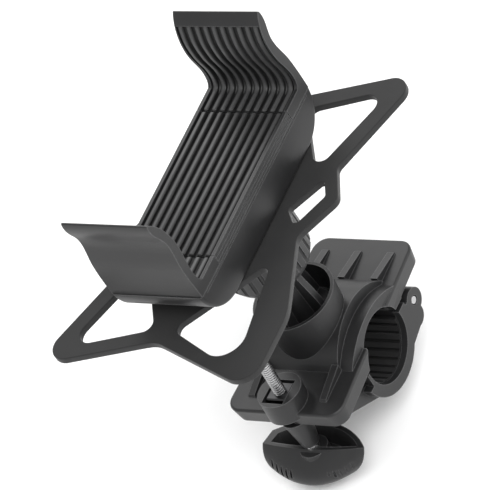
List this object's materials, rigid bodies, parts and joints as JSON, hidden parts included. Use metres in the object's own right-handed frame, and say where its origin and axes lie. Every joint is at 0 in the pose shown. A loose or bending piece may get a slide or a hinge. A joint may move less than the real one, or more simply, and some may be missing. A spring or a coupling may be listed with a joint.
{
  "type": "phone handlebar mount",
  "caption": "Phone holder for a handlebar: hinged bar clamp with wing knob, ball joint with lock ring, sprung two-jaw phone clamp and silicone corner band.",
  "frame": {"origin": "on the handlebar's axis, midway along the clamp", "axes": "+X along the handlebar, +Y along the phone clamp towards the hinge, +Z out towards the phone"},
  "size_m": [0.0792, 0.1155, 0.1344],
  "materials": {
    "nylon_black": "moulded, fine matte",
    "shell_black": "moulded, smooth satin",
    "lining_rubber": "ribbed rubber",
    "pad_rubber": "ribbed rubber",
    "band_silicone": "matte silicone",
    "black_steel": "blackened zinc",
    "bright_steel": "bright zinc"
  },
  "bodies": {
    "base": {"clamp_saddle": "nylon_black", "hinge_pin": "bright_steel", "upper_lining": "lining_rubber", "ball_post": "nylon_black", "post_screw": "bright_steel"},
    "gate": {"clamp_gate": "nylon_black", "lower_lining": "lining_rubber"},
    "nut": {"clamp_nut": "black_steel"},
    "screw": {"clamp_screw": "bright_steel", "wing_knob": "nylon_black"},
    "ball_liner": {"friction_cup": "nylon_black"},
    "ring": {"lock_ring": "nylon_black"},
    "head": {"swivel_socket": "nylon_black", "silicone_band": "band_silicone", "back_shell": "shell_black", "shell_screws": "bright_steel", "front_cover": "shell_black", "centre_pad": "pad_rubber", "jaw_springs": "bright_steel"},
    "upper_slide": {"upper_jaw": "shell_black", "upper_jaw_pad": "pad_rubber"},
    "lower_slide": {"lower_jaw": "shell_black", "lower_jaw_pad": "pad_rubber"},
    "pinion": {"sync_pinion": "nylon_black"}
  },
  "joints": [
    {"name": "gate_swing", "type": "hinge", "parent": "base", "child": "gate", "pos_m": [0, 0.0197, -0.0029], "axis": [1, 0, 0], "range_deg": [0, 5]},
    {"name": "nut_run", "type": "slide", "parent": "gate", "child": "nut", "axis": [0, 0.0698, 0.9976], "range_m": [0, 0.005]},
    {"name": "knob_turn", "type": "hinge", "parent": "gate", "child": "screw", "pos_m": [0, -0.0296, 0], "axis": [0, 0.0698, 0.9976], "continuous": true},
    {"name": "ball_nod", "type": "hinge", "parent": "base", "child": "ball_liner", "pos_m": [0, -0.0034, 0.0495], "axis": [1, 0, 0], "range_deg": [-16, 16]},
    {"name": "ball_roll", "type": "hinge", "parent": "ball_liner", "child": "ring", "pos_m": [0, -0.0034, 0.0495], "axis": [0, 1, 0], "range_deg": [-16, 16]},
    {"name": "head_spin", "type": "hinge", "parent": "ring", "child": "head", "pos_m": [0, -0.0034, 0.0495], "axis": [0, 0, 1], "continuous": true},
    {"name": "upper_jaw_slide", "type": "slide", "parent": "head", "child": "upper_slide", "axis": [0, 1, 0], "range_m": [0, 0.008], "deforming": ["jaw_springs"]},
    {"name": "lower_jaw_slide", "type": "slide", "parent": "head", "child": "lower_slide", "axis": [0, -1, 0], "range_m": [0, 0.008]},
    {"name": "pinion_turn", "type": "hinge", "parent": "head", "child": "pinion", "pos_m": [-0.0007, -0.0053, 0.077], "axis": [0, 0, 1], "range_deg": [-95, 0]}
  ],
  "couplings": [
    {"joint": "nut_run", "follows": "gate_swing", "m_per_rad": 0.0545},
    {"joint": "lower_jaw_slide", "follows": "upper_jaw_slide", "ratio": 1},
    {"joint": "pinion_turn", "follows": "upper_jaw_slide", "rad_per_m": -200}
  ]
}
